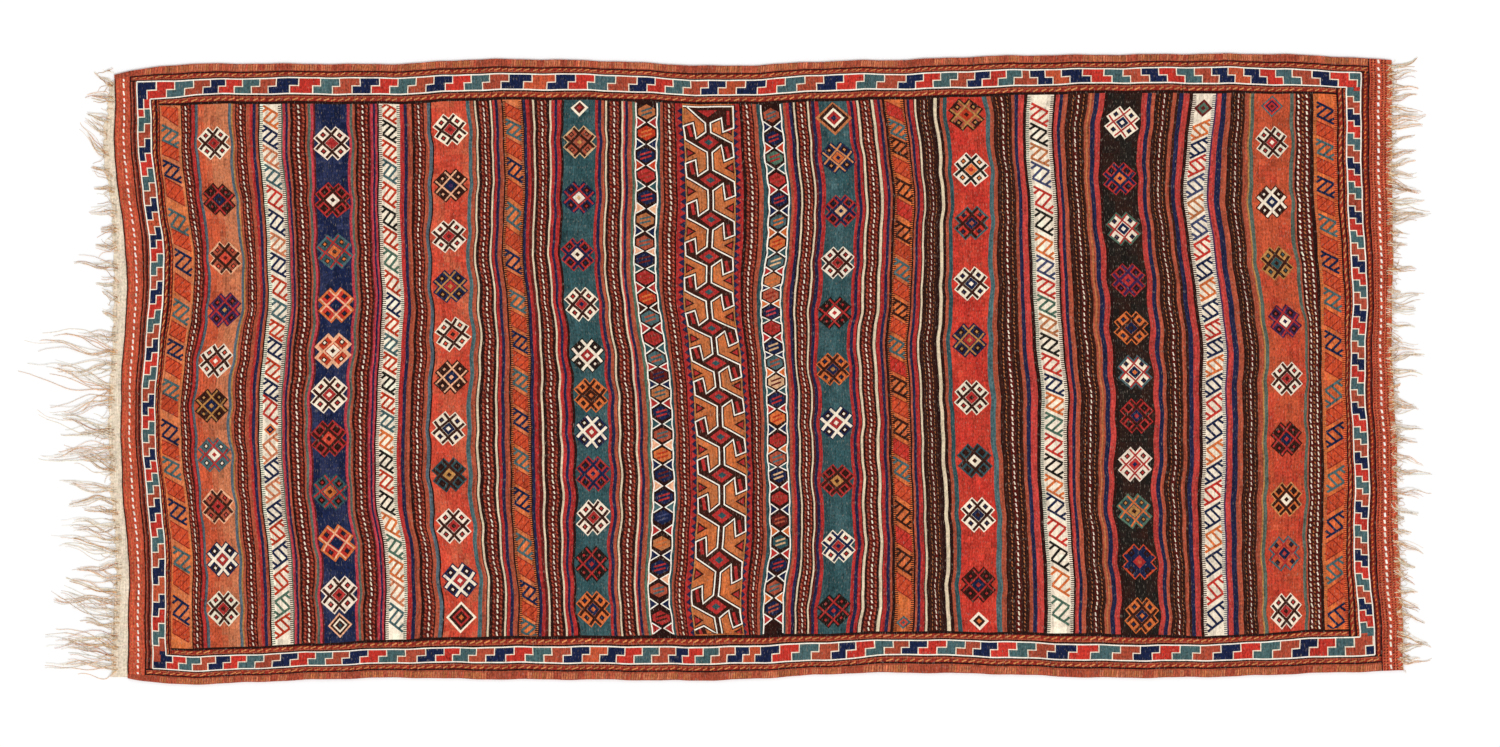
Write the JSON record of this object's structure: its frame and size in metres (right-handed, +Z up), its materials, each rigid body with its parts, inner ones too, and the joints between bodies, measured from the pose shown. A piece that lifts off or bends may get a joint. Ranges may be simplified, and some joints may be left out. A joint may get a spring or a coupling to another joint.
{
  "type": "soumak rug",
  "caption": "Flat soumak rug with crosswise motif bands, a frame of stepped blocks and a knotless warp fringe along each short end.",
  "frame": {"origin": "middle of the rug's outline, fringes included, on the floor", "axes": "+X along the rug towards the short fringe, +Y across it towards its upper selvedge in the picture, +Z up off the floor"},
  "size_m": [2.8376, 1.2602, 0.0041],
  "materials": {
    "wool": "matt wool weft wrapping in brick, navy, teal, coral and ivory",
    "warp_yarn": "undyed cream warp yarn, matt"
  },
  "bodies": {
    "root": {"woven_rug": "wool", "fringe_left": "warp_yarn", "fringe_right": "warp_yarn"}
  },
  "joints": []
}
